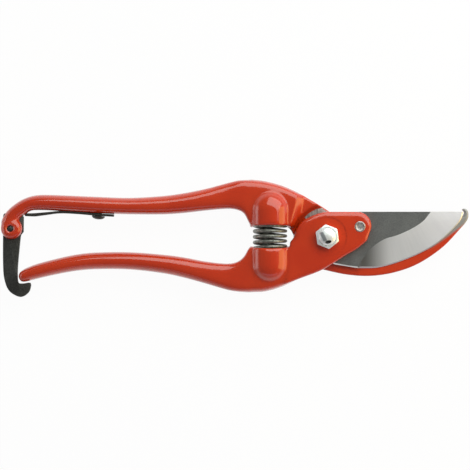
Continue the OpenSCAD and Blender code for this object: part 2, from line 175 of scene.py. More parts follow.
def spring_socket(mouth, towards):
    """What is bored out of a boss."""
    return rod(SOCKET["radius"], -BOSS["radius"], SOCKET["depth"], lying(BOSS["x"], mouth, towards))


def mouth_relief(front):
    """What is taken off both mouths, in front of the spring or behind it."""
    lip = [(4.6, 1.2), (5.3, 4.5), (5.6, 8.8), (6.2, 9.6), (7.7, 10.0), (7.7, 20)]
    reach = 9.6
    notch = plate(lip + [(-y, depth) for y, depth in reversed(lip)], -reach, reach)
    upright = Matrix(((0, 0, 1), (1, 0, 0), (0, front, 0))).to_4x4()
    place = Matrix.Translation((BOSS["x"], 0, MID)) @ upright
    bmesh.ops.transform(notch, matrix=place, verts=notch.verts)
    bmesh.ops.recalc_face_normals(notch, faces=notch.faces)
    return notch


def piece(name, finish, *forms):
    """An object in one finish that holds some forms, joined but not fused."""
    bm = bmesh.new()
    for form in forms:
        mesh = bpy.data.meshes.new("form")
        form.to_mesh(mesh)
        bm.from_mesh(mesh)
        form.free()
        bpy.data.meshes.remove(mesh)
    mesh = bpy.data.meshes.new(name)
    bm.to_mesh(mesh)
    bm.free()
    mesh.materials.append(finish)
    made = bpy.data.objects.new(name, mesh)
    bpy.context.collection.objects.link(made)
    return made


def settle(made):
    """Works an object's modifiers into its mesh."""
    depsgraph = bpy.context.evaluated_depsgraph_get()
    mesh = bpy.data.meshes.new_from_object(made.evaluated_get(depsgraph), depsgraph=depsgraph)
    old, made.data = made.data, mesh
    made.modifiers.clear()
    bpy.data.meshes.remove(old)


def forge(made, grain=0.4, rounds=20):
    """Fuses a piece's forms into one skin and rounds its edges and creases, as dies do."""
    skin = made.modifiers.new("skin", "REMESH")
    skin.mode, skin.voxel_size = "VOXEL", grain
    rounding = made.modifiers.new("rounding", "SMOOTH")
    rounding.factor, rounding.iterations = 0.5, rounds
    settle(made)


def cut(made, form, finish=None, operation="DIFFERENCE"):
    """Cuts a form out of a piece. The cut's faces are in that finish, or in the piece's own."""
    cutter = piece("cutter", finish or made.data.materials[0], form)
    cutting = made.modifiers.new("cut", "BOOLEAN")
    cutting.operation, cutting.solver, cutting.object = operation, "MANIFOLD", cutter
    cutting.material_mode = "TRANSFER"
    settle(made)
    bpy.data.objects.remove(cutter)


def hand_over(made, body, slot, *nodes, angle=30):
    """Brings a piece to metres, gives it its body, if it has one, and hides the CAD nodes it stands in for.
    slot is not used.
    """
    made.data.transform(Matrix.Scale(1 / PER_METRE, 4))
    made.data.shade_smooth()
    made.data.set_sharp_from_angle(angle=radians(angle))
    if body:
        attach(made, body)
    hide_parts(*nodes)


def srgb(*levels):
    """A colour as the shaders want it, from levels of 0 to 255, by the sRGB curve."""
    shares = [v / 255 for v in levels]
    return (*[v / 12.92 if v <= 0.04045 else ((v + 0.055) / 1.055) ** 2.4 for v in shares], 1)


class Reading:
    """A number that changes over a surface: a socket that Python's arithmetic adds Math nodes to."""

    def __init__(self, finish, socket):
        self.finish, self.socket = finish, socket

    def math(self, operation, *terms):
        return self.finish.node("ShaderNodeMath", {"operation": operation}, dict(enumerate(terms)))

    def __add__(self, other):
        return self.math("ADD", self, other)

    def __sub__(self, other):
        return self.math("SUBTRACT", self, other)

    def __rsub__(self, other):
        return self.math("SUBTRACT", other, self)

    def __mul__(self, other):
        return self.math("MULTIPLY", self, other)

    def __pow__(self, other):
        return self.math("POWER", self, other)

    def __abs__(self):
        return self.math("ABSOLUTE", self)

    __radd__, __rmul__ = __add__, __mul__

    def most(self, other):
        return self.math("MAXIMUM", self, other)

    def fade(self, start, end):
        """0 before start and 1 after end, with a soft change between them."""
        return self.finish.node(
            "ShaderNodeMapRange",
            {"interpolation_type": "SMOOTHSTEP"},
            {"Value": self, "From Min": start, "From Max": end},
        )

    def mix(self, none, highlit_grind):
        """A colour from none at 0 to full at 1."""
        return self.finish.node("ShaderNodeMix", {"data_type": "RGBA"}, {0: self, 6: none, 7: highlit_grind}, out=2)


class Finish:
    """The nodes of one finish. place is where a point is on the shears, in millimetres."""

    def __init__(self, name, **constants):
        self.material = bpy.data.materials.new(name)
        self.material.use_nodes = True
        self.tree = self.material.node_tree
        self.shader = self.tree.nodes["Principled BSDF"]
        for socket, value in constants.items():
            self.set(socket.replace("_", " "), value)
        metres = self.node("ShaderNodeTexCoord", out="Object")
        self.place = self.node(
            "ShaderNodeVectorMath", {"operation": "SCALE"}, {0: metres, "Scale": PER_METRE}
        )
        apart = self.node("ShaderNodeSeparateXYZ", {}, {0: self.place})
        self.x, self.y, self.z = (Reading(self, apart.socket.node.outputs[i]) for i in range(3))

    def node(self, kind, settings=None, sockets=None, out=0):
        """A node of that kind, with its settings and then its sockets' values or links."""
        node = self.tree.nodes.new(kind)
        for name, value in (settings or {}).items():
            setattr(node, name, value)
        for socket, value in (sockets or {}).items():
            if isinstance(value, Reading):
                self.tree.links.new(value.socket, node.inputs[socket])
            else:
                node.inputs[socket].default_value = value
        return Reading(self, node.outputs[out])

    def set(self, socket, value):
        """Feeds one of the shader's own sockets."""
        if isinstance(value, Reading):
            self.tree.links.new(value.socket, self.shader.inputs[socket])
        else:
            self.shader.inputs[socket].default_value = value

    def stretched(self, along, turn):
        """Places stretched so that a pattern runs long on one axis, after a turn in degrees."""
        return self.node(
            "ShaderNodeMapping",
            {},
            {"Vector": self.place, "Rotation": (0, 0, radians(turn)), "Scale": along},
        )

    def noise(self, scale, detail=3, rough=0.5, place=None):
        """A cloudy pattern with about that many clouds to a millimetre."""
        return self.node(
            "ShaderNodeTexNoise",
            {},
            {"Vector": place or self.place, "Scale": scale, "Detail": detail, "Roughness": rough},
        )

    def bump(self, height, depth):
        """Raises the surface by height, where 1 is that depth in millimetres."""
        raised = {"Strength": 1, "Distance": depth / PER_METRE, "Height": height}
        self.set("Normal", self.node("ShaderNodeBump", {}, raised))


enamel = Finish("orange enamel", IOR=1.5, Coat_IOR=1.6, Coat_Roughness=0.09, Specular_IOR_Level=0.2)
clouds = enamel.noise(0.045, 2)
flow = enamel.noise(0.4, 3)
base = clouds.fade(0.3, 0.7).mix(srgb(195, 50, 12), srgb(204, 58, 16))
towards_tip = (enamel.x + 0.35 * enamel.y).fade(45, 61)
inner_side = (enamel.y - 0.72 * enamel.x + 42.2).fade(-1.6, 0.4)
tip = towards_tip * inner_side * enamel.z.fade(5, 8.4)  # where the enamel is worn off
enamel.set("Base Color", tip.mix(base, srgb(158, 157, 155)))
enamel.set("Metallic", tip * 0.5)
enamel.set("Roughness", 0.2 + flow * 0.06 + tip * 0.22)
enamel.set("Coat Weight", 0.85 * (1 - tip))
enamel.bump(enamel.noise(0.5, 1) + enamel.noise(0.1, 1) * 4, 0.003)

ground = Finish("ground steel", Metallic=0.85)
swirls = ground.noise(1.6, 2, place=ground.stretched((1, 0.12, 1), 24))
scratches = ground.noise(6, 1, place=ground.stretched((1, 0.03, 1), -38))
marks = (swirls * 0.7 + scratches * 0.5).fade(0.35, 0.8)
ground.set("Base Color", marks.mix(srgb(138, 120, 113), srgb(197, 182, 177)))
ground.set("Roughness", 0.36 + scratches * 0.2)
ground.bump(swirls + scratches, 0.02)

UPPER_ROWS = [
    (-9.9, 19.4, -13.7, 4.5, 1.2, 5),
    (-10.6, 19.8, -14.4, 4.5, 1.7, 5),
    (-11.5, 20.3, -15.4, 4.5, 2.6, 5),
    (-12.4, 20.8, -16.4, 4.5, 3.5, 5),
    (-13.3, 21.25, -17.4, 4.5, 4.35, 5),
    (-14.2, 21.75, -18.4, 4.5, 5.2, 6),
    (-15.4, 22.35, -19.8, 4.5, 5.2, 6),
    (-22.0, 25.2, -22.0, 4.5, 5.2, 6),
    (-30.0, 27.3, -30.0, 4.5, 5.2, 6),
    (-36.0, 28.0, -36.0, 4.5, 5.2, 5.5),
    (-38.2, 28.0, -38.2, 6.8, 5.2, 5),
    (-40.6, 27.9, -40.6, 11.2, 5.2, 4.3),
    (-43.8, 27.6, -43.8, 13.0, 5.2, 3.5),
    (-49.0, 26.3, -49.0, 13.6, 5.23, 2.8),
    (-59.6, 23.5, -59.6, 12.7, 5.86, 2.35),
    (-70.2, 21.4, -70.2, 11.5, 6.17, 2.15),
    (-80.8, 20.0, -80.8, 10.85, 6.3, 2.15),
    (-96.7, 19.1, -96.7, 10.9, 6.3, 2.1),
    (-112.6, 19.6, -112.6, 11.45, 6.3, 2.1),
    (-133.8, 20.5, -133.8, 12.75, 6.3, 2.1),
    (-142.3, 20.4, -142.3, 12.9, 6.17, 2.1),
    (-148.0, 18.9, -145.4, 12.5, 6.05, 2.1),
    (-152.6, 16.3, -147.8, 11.0, 5.8, 2.1),
    (-156.9, 12.6, -150.1, 9.3, 5.5, 2.1),
    (-159.6, 8.1, -151.2, 6.8, 5.2, 2.1),
    (-159.9, 3.9, -151.0, 3.9, 4.9, 2.1),
]
HEAD = [(-17.0, 20.8), (-22.0, 12.0), (-20.0, 4.51), (-18.9, 4.51), (-17.4, 3.0), (-16.2, 0.4), (0, 0.4)]
HEAD += arc(PIVOT, HEAD_RADIUS, 0, 68, 8) + [(0.9, 12.7), (-2.1, 14.7), (-8.0, 18.1), (-12.2, 20.6)]
LOBE = [(2.8, 5.6), (4.4, 4.6), (5.0, 3.7), (5.3, 2.6)]
LOBE_FACE = 5.5
LOBE_CENTRE = PIN + Vector((0.45, 0.1, 0))
JAW_OUTER = [(-2.1, -16.2), (9.7, -18.7), (21.5, -19.4), (33.3, -17.7), (45.1, -13.4), (56.9, -5.5)]
JAW_OUTER += [(65.7, 3.7), (69.2, 8.0), (69.9, 10.8), (69.4, 12.9), (68.1, 13.9), (66.6, 13.6)]
JAW_INNER = [(66.5, 12.9), (67.7, 12.5), (67.6, 11.2), (66.0, 9.4), (58.0, 5.4), (50.0, -0.6), (42.0, -5.4)]
JAW_INNER += [(33.0, -9.2), (22.0, -10.6), (14.0, -7.0)]
JAW = curve_through(JAW_OUTER, 6) + curve_through(JAW_INNER, 6) + arc(PIVOT, HEAD_RADIUS, -20, 68, 10)
JAW += [(0.9, 12.7), (-2.1, 14.7)] + arc(PIVOT, 16.3, 125, 263, 24)

upper = piece(
    "upper_forging",
    enamel.material,
    drawn_bar(UPPER_ROWS),
    spring_boss(UPPER_MOUTH, 1),
    turned(
        [(0, LOBE_FACE), *LOBE, *[(r, -z) for r, z in reversed(LOBE)], (0, -LOBE_FACE)],
        Matrix.Translation(LOBE_CENTRE),
    ),
    plate(HEAD, JAW_BACK, FLAT_FRONT),
    plate(JAW, JAW_BACK, JAW_FACE),
)
wall = [(RECESS_FOOT, JAW_FRONT), (RECESS_RADIUS, FLAT_FRONT), (RECESS_RADIUS, ABOVE)]
cut(upper, turned([(0, JAW_FRONT), *wall, (0, ABOVE)]))
for front in (1, -1):
    cut(upper, mouth_relief(front))
forge(upper)
wheel_path = [PIVOT.xy, *arc(PIVOT, FLOOR_RADIUS, -170, 139, 60)]
cut(upper, plate(wheel_path, HEAD_FLOOR, ABOVE), ground.material)
cut(upper, rod(PIVOT_HOLE, BELOW, ABOVE), ground.material)
cut(upper, spring_socket(UPPER_MOUTH, 1))
cut(upper, rod(SLOT["reach"], MID - SLOT["half"], MID + SLOT["half"], AT_PIN))
cut(upper, rod(PIN_HOLE, BELOW, ABOVE, AT_PIN), ground.material)
countersink = [(0, 5.0), (PIN_HOLE, 5.0), (2.4, 5.6), (2.4, 9), (0, 9)]
cut(upper, turned(countersink, Matrix.Translation(PIN)))
hand_over(upper, "upper", "handle_paint", "upper_handle")

# Lower handle: the other forging, enamelled too. Its shoulder carries a plate that passes in front of the
# blade, with rounded rims and a shallow seat for the bolt's head. It is ground flat behind the plate.
LOWER_MOUTH = -4.7
PLATE_BACK, PLATE_FRONT = 12.15, 16.15
PLATE_RIMS = [(0.6, 0.9), (1.7, 0.5)]
SEAT_Z, SEAT_RADIUS = PLATE_FRONT - 0.25, 9.7
LOWER_ROWS = [
    (-150.9, -20.8, -151.3, -19.4, 1.8, 2.1),
    (-150.2, -21.8, -150.9, -18.0, 3.7, 2.1),
    (-148.9, -22.3, -150.0, -16.9, 4.9, 2.1),
    (-146.0, -21.75, -147.6, -15.4, 5.5, 2.1),
    (-142.3, -20.8, -142.3, -13.35, 5.86, 2.1),
    (-133.8, -18.85, -133.8, -11.05, 6.11, 2.1),
    (-123.2, -16.9, -123.2, -8.75, 6.3, 2.1),
    (-112.6, -16.05, -112.6, -7.7, 6.3, 2.1),
    (-96.7, -16.2, -96.7, -7.6, 6.3, 2.1),
    (-80.8, -18.0, -80.8, -8.75, 6.3, 2.15),
    (-70.2, -20.2, -70.2, -10.1, 6.17, 2.25),
    (-59.6, -23.1, -59.6, -12.1, 5.86, 2.6),
    (-49.0, -26.2, -49.0, -13.2, 5.23, 3.2),
    (-43.8, -27.1, -43.8, -12.2, 5.2, 4.2),
    (-40.6, -27.4, -40.6, -9.6, 5.2, 5.4),
    (-38.2, -27.5, -38.2, -5.6, 5.2, 5.4),
    (-36.0, -27.4, -36.0, -4.7, 5.2, 6),
    (-30.0, -27.0, -30.0, -4.7, 5.25, 6),
    (-22.0, -24.7, -22.0, -4.7, 5.6, 6),
    (-12.0, -20.0, -17.0, -4.7, 6.1, 5),
]
NOSE = (14.9, 5.3)
RIVET = (16.1, 4.9)
RIVET_HOLE = 2.65
AT_RIVET = Matrix.Translation((*RIVET, 0))
PLATE = [(-16.1, 0.1), (-15.4, 3.0), (-13.6, 5.9), (-10.9, 8.4), (-7.2, 10.3), (-4.2, 11.4), (-1.2, 12.2)]
PLATE += arc(NOSE, 6.9, 90, -30, 16)
PLATE += curve_through(
    [(19.5, -2.1), (14.5, -6.1), (8.5, -9.6), (-2.1, -16.2), (-12.6, -20.3), (-21.0, -23.6)], 4
)
PLATE += [(-21.0, -12.0), (-20.7, -4.7), (-18.3, -2.8), (-16.7, -1.0)]

lower = piece(
    "lower_forging",
    enamel.material,
    drawn_bar(LOWER_ROWS),
    spring_boss(LOWER_MOUTH, -1),
    plate(PLATE, PLATE_BACK - 0.3, PLATE_FRONT, PLATE_RIMS),
)
for front in (1, -1):
    cut(lower, mouth_relief(front))
forge(lower)
cut(lower, rod(RECESS_RADIUS, BELOW, PLATE_BACK), ground.material)
cut(lower, plate([(0, -30), (40, -30), (40, 30), (0, 30)], BELOW, PLATE_BACK), ground.material)
cut(lower, turned([(0, SEAT_Z), (SEAT_RADIUS, SEAT_Z), (10.3, 20), (0, 20)]))
cut(lower, rod(PIVOT_HOLE, BELOW, ABOVE), ground.material)
cut(lower, rod(RIVET_HOLE, BELOW, ABOVE, AT_RIVET), ground.material)
cut(lower, spring_socket(LOWER_MOUTH, -1))
hand_over(lower, "lower", "handle_paint", "lower_handle")

# Cutting blade: hardened steel plate with a dark, fine-grained skin. One side is hollow-ground to a curved
# edge that is then honed to a narrow bright land. Its round heel turns on the pivot, behind the plate.
BLADE_BACK = 9.25
EDGE_Z = BLADE_BACK + 0.4
BLADE_EDGE = curve_through(
    [(67.2, 12.2), (65.9, 8.2), (61.7, 3.2), (52.8, -4.4), (39.6, -10.9), (26.2, -15.0), (15.8, -15.5)], 12
)
GRIND_LINE = curve_through(
    [(51.0, 12.2), (47.2, 7.6), (41.6, 3.9), (34.5, 0.7), (27.5, -1.6), (20.6, -6.9), (14.6, -15.5)], 12
)
HEEL = [
    (33.0, -13.4), (28.0, -15.0), (22.0, -15.95), (15.8, -15.5), (9.8, -14.75), (4.0, -13.6), (-2.0, -12.3),
]
HEEL_BEVEL = {"width": 0.7, "fall": 0.8}
LAND = {"width": 0.8, "rise": 0.28, "drop": 0.32}  # heights from the ground edge
WHEEL = (21.0, 46.0)  # the grinding lines curve about this place


def ground_off(line, line_z, edge, edge_z, over=0.3):
    """What a wheel takes off above a surface from a line down to an edge, and a little beyond it."""
    room = 2
    beyond = [(x + over * (x - u), y + over * (y - v)) for (u, v), (x, y) in zip(line, edge)]
    low = edge_z - over * (line_z - edge_z)
    rails = [(line, line_z), (beyond, low), (beyond, line_z + room), (line, line_z + room)]
    bm = bmesh.new()
    chains = []
    for points, z in rails:
        verts = [bm.verts.new((x, y, z)) for x, y in points]
        chains.append((verts, [bm.edges.new(pair) for pair in zip(verts, verts[1:])]))
    for (_, near), (_, far) in zip(chains, chains[1:] + chains[:1]):
        bmesh.ops.bridge_loops(bm, edges=near + far)
    for end in (0, -1):
        bm.faces.new([verts[end] for verts, _ in chains])
    bmesh.ops.recalc_face_normals(bm, faces=bm.faces)
    return bm


skin = Finish("dark blade skin", Metallic=0.55)
grain = skin.noise(2.2, 4, 0.7)
patches = skin.noise(0.12, 2)
speckle = (grain * 0.8 + patches * 0.3).fade(0.3, 0.85)
skin.set("Base Color", speckle.mix(srgb(86, 89, 90), srgb(123, 126, 127)))
skin.set("Roughness", 0.46 + grain * 0.16)
skin.bump(grain, 0.03)

bevel = Finish("ground bevel", Metallic=0.4)
round_wheel = bevel.node(
    "ShaderNodeMath", {"operation": "ARCTAN2"}, {0: bevel.y - WHEEL[1], 1: bevel.x - WHEEL[0]}
)
across = round_wheel * 60
along = (bevel.x**2 + (bevel.y - WHEEL[1]) ** 2) ** 0.5 * 0.02
run = bevel.node("ShaderNodeCombineXYZ", {}, {0: across, 1: along})
lines = bevel.noise(3.5, 4, 0.65, place=run)
bands = bevel.noise(0.16, 2, place=run)
tone = (lines * 0.35 + bands * 0.65).fade(0.3, 0.75)
# painted shade and highlight: the grind's colour is dark where it starts, by the plate, and brightest
# towards the tip
shaded_grind = tone.mix(srgb(87, 90, 91), srgb(99, 102, 103))
half = tone.mix(srgb(216, 220, 227), srgb(227, 231, 238))
highlit_grind = tone.mix(srgb(229, 233, 246), srgb(240, 244, 255))
bevel.set("Base Color", bevel.x.fade(17, 35).mix(shaded_grind, bevel.x.fade(36, 66).mix(half, highlit_grind)))
bevel.set("Roughness", 0.34 + lines * 0.14)
bevel.bump(lines, 0.015)

honed = Finish("honed edge", Metallic=1)
strokes = honed.noise(1.8, 3)
honed.set("Base Color", strokes.fade(0.3, 0.7).mix(srgb(200, 200, 197), srgb(212, 212, 209)))
honed.set("Roughness", 0.35 + strokes * 0.06)

outline = BLADE_EDGE + [(4.0, -13.6)] + arc(PIVOT, 12, 270, 100, 40) + [(0, 12.2)]
blade = piece("blade_steel", skin.material, plate(outline, BLADE_BACK, PLATE_BACK))
line = [(53.4, 14.2), *GRIND_LINE, (13.6, -17.6)]
edge = [(69.2, 14.4), *BLADE_EDGE, (15.6, -17.8)]
cut(blade, ground_off(line, PLATE_BACK, edge, EDGE_Z), bevel.material)
runs = [(Vector(b) - Vector(a)).normalized() for a, b in zip(edge[:1] + edge, edge[1:] + edge[-1:])]
inner = [(x + LAND["width"] * run.y, y - LAND["width"] * run.x) for (x, y), run in zip(edge, runs)]
land = ground_off(inner, EDGE_Z + LAND["rise"], edge, EDGE_Z - LAND["drop"], over=2)
cut(blade, land, honed.material)
heel_line = [(x, y + HEEL_BEVEL["width"]) for x, y in HEEL]
heel_bevel = ground_off(heel_line, PLATE_BACK, HEEL, PLATE_BACK - HEEL_BEVEL["fall"])
cut(blade, heel_bevel, honed.material)
cut(blade, rod(PIVOT_HOLE, BELOW, ABOVE))
cut(blade, rod(RIVET_HOLE, BELOW, ABOVE, AT_RIVET))
hand_over(blade, "lower", "blade_steel", "cutting_blade", angle=7)

# Blade rivet: soft steel, put through the plate and the blade behind it so that they move as one. It is
# peened flat in the plate with a ring punch, which leaves a shallow dish in its head.
plain = Finish("plain steel", Metallic=0.9)
wear = plain.noise(1.1, 3)
plain.set("Base Color", wear.fade(0.3, 0.7).mix(srgb(166, 160, 157), srgb(204, 198, 195)))
plain.set("Roughness", 0.3 + wear * 0.2)
plain.bump(wear, 0.03)
proud = PLATE_FRONT + 0.25
rivet = piece(
    "blade_rivet_peened",
    plain.material,
    turned(
        [
            (0, BLADE_BACK), (2.63, BLADE_BACK), (2.63, proud - 0.2), (2.5, proud - 0.06), (2.25, proud),
            (1.85, proud - 0.02), (1.62, proud - 0.2), (1.4, proud - 0.24), (0, proud - 0.2),
        ],
        AT_RIVET,
    ),
)
hand_over(rivet, "lower", "rivet_steel", "blade_rivet", angle=50)

# Pivot bolt: bright-plated steel. The head is a hexagon with a chamfered ring, a groove and a domed button
# inside it. It turns on the plate, and the shank is screwed through the nut at the back. The button's
# colour holds a painted reflection, a grey slanting streak, and a small dent that is painted black as a
# dark reflection.
chrome = Finish("bright plating", Metallic=0.7)
painted_reflection_streak = 1 - abs(chrome.x * 0.91 + chrome.y * 0.41 + 1.8).fade(0.6, 1.2)  # painted reflection: a grey slanting streak across the button
painted_reflection_streak = painted_reflection_streak * chrome.z.fade(19.4, 19.9) * (1 - abs(chrome.y).fade(1.8, 2.7))
chrome.set("Base Color", painted_reflection_streak.mix(srgb(246, 251, 251), srgb(160, 166, 170)))
chrome.set("Roughness", 0.4 + chrome.noise(1.5, 2) * 0.06)
# painted dark reflection: the near-black colour in the button's small dent stands for a dark reflection in
# the dome
dark_reflection = Finish("painted grease")
dark_mottle = dark_reflection.noise(3, 3)
dark_reflection.set("Base Color", dark_mottle.fade(0.3, 0.7).mix(srgb(15, 15, 17), srgb(26, 25, 26)))
dark_reflection.set("Roughness", 0.32 + dark_mottle * 0.16)
HEX_Z, HEX_TOP, BOLT_TOP = 15.9, 19.3, 21.0
HEX_FLATS = 10.5
BUTTON, GROOVE = 4.2, 0.35  # the button's radius, and the depth of the groove round it
DENT = {"place": (0.4, -2.7, 20.6), "turn": 20, "size": (1.6, 1.0, 0.5)}


def hexagon(across_flats, low, high, turn):
    """A hexagonal bar with softened corners, turned by some degrees."""
    bm = bmesh.new()
    corner = across_flats / 2 / cos(pi / 6)
    ring = bmesh.ops.create_circle(
        bm, cap_ends=True, segments=6, radius=corner, matrix=Matrix.Rotation(radians(turn - 90), 4, "Z")
    )
    bmesh.ops.translate(bm, verts=ring["verts"], vec=(0, 0, low))
    raised = bmesh.ops.extrude_face_region(bm, geom=bm.faces[:])["geom"]
    bmesh.ops.translate(bm, verts=only(bmesh.types.BMVert, raised), vec=(0, 0, high - low))
    bmesh.ops.recalc_face_normals(bm, faces=bm.faces)
    upright = [e for e in bm.edges if abs(e.verts[0].co.z - e.verts[1].co.z) > 1]
    bmesh.ops.bevel(bm, geom=upright, offset=0.35, segments=3, profile=0.5, affect="EDGES", material=-1)
    return bm


rises = [pi / 2 * k / 14 for k in range(15)]
button = [(0, HEX_Z - 1), (6.3, HEX_Z - 1), (6.3, HEX_TOP - 1.0), (5.15, HEX_TOP - 0.1), (4.9, HEX_TOP)]
button += [(4.55, HEX_TOP), (4.4, HEX_TOP - GROOVE), (BUTTON, HEX_TOP - GROOVE)]
button += [(BUTTON * cos(a), HEX_TOP + (BOLT_TOP - HEX_TOP) * sin(a)) for a in rises]
bolt = piece("bolt_head_and_shank", chrome.material, hexagon(HEX_FLATS, HEX_Z, BOLT_TOP, 38))
cut(bolt, turned(button), operation="INTERSECT")
shank = rod(3.5, JAW_BACK, HEX_Z + 0.5)
thread = turned([(0, 0), (2.5, 0), (2.95, 0.5), (2.95, JAW_BACK + 0.5), (0, JAW_BACK + 0.5)])
cut(bolt, shank, operation="UNION")
cut(bolt, thread, operation="UNION")
dent_place = (
    Matrix.Translation(DENT["place"])
    @ Matrix.Rotation(radians(DENT["turn"]), 4, "Z")
    @ Matrix.Diagonal((*DENT["size"], 1))
)
dent = turned([(0, -1), *arc((0, 0), 1, -80, 80, 16), (0, 1)], dent_place)
cut(bolt, dent, dark_reflection.material)
hand_over(bolt, "upper", "polished_steel", "pivot_bolt", angle=28)

# Washer and nut: plain steel, drawn up against the back of the upper head. The nut is chamfered on both
# faces, and its mouth is countersunk where the end of the shank shows.
NUT_FLATS, NUT_HIGH = 10.0, 3.4
washer = piece(
    "washer_ring",
    plain.material,
    turned([(3.05, 3.45), (6.1, 3.45), (6.25, 3.6), (6.25, 4.35), (6.1, 4.5), (3.05, 4.5)]),
)
hand_over(washer, "upper", "rivet_steel", "pivot_washer", angle=40)
nut = piece("hex_nut", plain.material, hexagon(NUT_FLATS, 0, NUT_HIGH, 0))
chamfers = turned([(0, 0), (4.9, 0), (5.9, 0.6), (5.9, 2.8), (4.9, NUT_HIGH), (0, NUT_HIGH)])
cut(nut, chamfers, operation="INTERSECT")
cut(nut, turned([(0, -1), (3.6, -1), (3.0, 0.4), (3.0, 5), (0, 5)]))
hand_over(nut, "upper", "rivet_steel", "pivot_nut", angle=28)

# Main spring: hard-drawn steel wire under a film of oil, coiled with its end turns closed against the
# floors of the two sockets, which hold it. It has taken a slight set, so its turns lean.
oiled = Finish("oiled spring wire", Metallic=0.6, Roughness=0.33)
film = oiled.noise(0.7, 3)
oiled.set("Base Color", film.fade(0.3, 0.7).mix(srgb(96, 98, 92), srgb(150, 152, 144)))
WIRE, COIL = 0.86, 7.65  # radii of the wire and of the middle of its turns
OPEN_PITCH = 2.6  # about, between the closed ends
PER_TURN = 36
STARTS_AT = 58  # degrees round the coil
CLEAR = 0.03
low = LOWER_MOUTH - SOCKET["depth"] + WIRE + CLEAR
high = UPPER_MOUTH + SOCKET["depth"] - WIRE - CLEAR
closed = 2 * WIRE + 0.08
open_turns = round((high - low - 2 * closed) / OPEN_PITCH)
stretches = [(1, closed), (open_turns, (high - low - 2 * closed) / open_turns), (1, closed)]
wire = bmesh.new()
start = (
    Matrix.Rotation(radians(STARTS_AT), 4, "Z")
    @ Matrix.Translation((COIL, 0, low))
    @ Matrix.Rotation(pi / 2, 4, "X")
)
ring = bmesh.ops.create_circle(wire, segments=14, radius=WIRE, matrix=start)["verts"]
wire_end = ring_edges(ring)
for turns, pitch in stretches:
    coil = bmesh.ops.spin(
        wire,
        geom=ring + wire_end,
        cent=(0, 0, 0),
        axis=(0, 0, 1),
        dvec=(0, 0, pitch / PER_TURN),
        angle=2 * pi * turns,
        steps=PER_TURN * turns,
    )["geom_last"]
    ring = only(bmesh.types.BMVert, coil)
    wire_end = only(bmesh.types.BMEdge, coil)
bmesh.ops.remove_doubles(wire, verts=wire.verts, dist=WELD)
bmesh.ops.holes_fill(wire, edges=[e for e in wire.edges if e.is_boundary])
bmesh.ops.recalc_face_normals(wire, faces=wire.faces)
for v in wire.verts:
    free = 1 - (v.co.z / high) ** 4  # the ends stay square in their sockets
    lean = -0.4 * v.co.x - 0.12 * v.co.y - 0.06 * v.co.x * v.co.z
    v.co.z += free * lean / COIL
bmesh.ops.transform(wire, matrix=lying(BOSS["x"], 0, 1), verts=wire.verts)
spring = piece("coil_spring", oiled.material, wire)
hand_over(spring, None, "spring_steel", "main_spring", angle=50)
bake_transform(spring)

# Catch: a stamped steel hook, blackened, that hangs from its pin in the upper handle's slot and holds the
# lower handle's tip. The pin is pressed into both cheeks, and its end lies in a countersunk hole.
HOOK = {"half": 1.5, "hole": 1.65}
black = Finish("blackened steel", Metallic=0.5)
mottle = black.noise(1.3, 4, 0.6)
rub = black.noise(0.15, 2)
bloom = (mottle * 0.6 + rub * 0.5).fade(0.35, 0.8)
black.set("Base Color", bloom.mix(srgb(53, 54, 52), srgb(84, 85, 82)))
black.set("Roughness", 0.42 + mottle * 0.15)
black.bump(mottle, 0.025)


def rounded(form, width, angle=25):
    """Rounds off a form's sharp edges."""
    sharp = [e for e in form.edges if len(e.link_faces) == 2 and e.calc_face_angle() > radians(angle)]
    bmesh.ops.bevel(
        form,
        geom=sharp,
        offset=width,
        segments=2,
        profile=0.5,
        affect="EDGES",
        material=-1,
        clamp_overlap=True,
    )
    return form


def off_pin(points):
    """Points that are given from the catch's pin."""
    return [(PIN.x + x, PIN.y + y) for x, y in points]


OUTSIDE = [(-3.8, 0), (-3.8, -16.9), (-3.1, -25.0), (-0.6, -30.7), (4.7, -33.5), (8.6, -31.4)]
OUTSIDE += [(9.8, -28.2), (9.6, -26.55)]
INSIDE = [(3.7, -26.5), (3.35, -24.5), (3.4, -18.5), (4.6, -5.6), (5.0, -3.0)]
hook = curve_through(OUTSIDE, 8) + [(8.4, -26.5), (6.2, -26.9), (4.2, -26.9)] + curve_through(INSIDE, 6)
hook += [(6.2, -1.6), (6.3, 5.9), (5.4, 6.5), (-2.9, 7.6), (-3.5, 7.1), (-3.8, 5.8)]
stamping = plate(off_pin(hook), MID - HOOK["half"], MID + HOOK["half"])
catch = piece("catch_hook", black.material, rounded(stamping, 0.3))
cut(catch, rod(HOOK["hole"], BELOW, ABOVE, AT_PIN))
hand_over(catch, "latch", "catch_steel", "catch", angle=28)
pin = piece(
    "catch_pin_end",
    black.material,
    turned(
        [(0, -4.9), (1.3, -4.9), (1.58, -4.6), (1.58, 4.5), (1.2, 4.9), (0.6, 5.1), (0, 5.15)],
        Matrix.Translation(PIN),
    ),
)
hand_over(pin, "upper", "rivet_steel", "catch_pin", angle=50)

# Catch spring: a blackened leaf that a round-headed stud holds under the grip. Its free tip, which is
# narrower and a little thicker, goes into the slot and bears on the catch's squared top.
LEAF_THICK, TIP_EXTRA = 1.2, 0.45
LEAF_HALF, TIP_HALF = 2.5, 1.5
STUD = (42.93, 7.48)
LEAF = [(6.9, 7.55), (11.02, 7.6), (15.05, 7.9), (19.08, 8.25), (24.38, 8.7), (31.8, 8.42), STUD]
LEAF = curve_through(LEAF + [(50.56, 7.05)], 6)
underside = [(x, y - LEAF_THICK - TIP_EXTRA * max(0, 1 - abs(x - 12) / 9)) for x, y in reversed(LEAF)]
leaf_form = plate(off_pin(LEAF + underside), MID - LEAF_HALF, MID + LEAF_HALF)
for v in leaf_form.verts:
    widening = min(max((v.co.x - PIN.x - 11) / 9.1, 0), LEAF_HALF - TIP_HALF)
    v.co.z = MID + copysign(TIP_HALF + widening, v.co.z - MID)
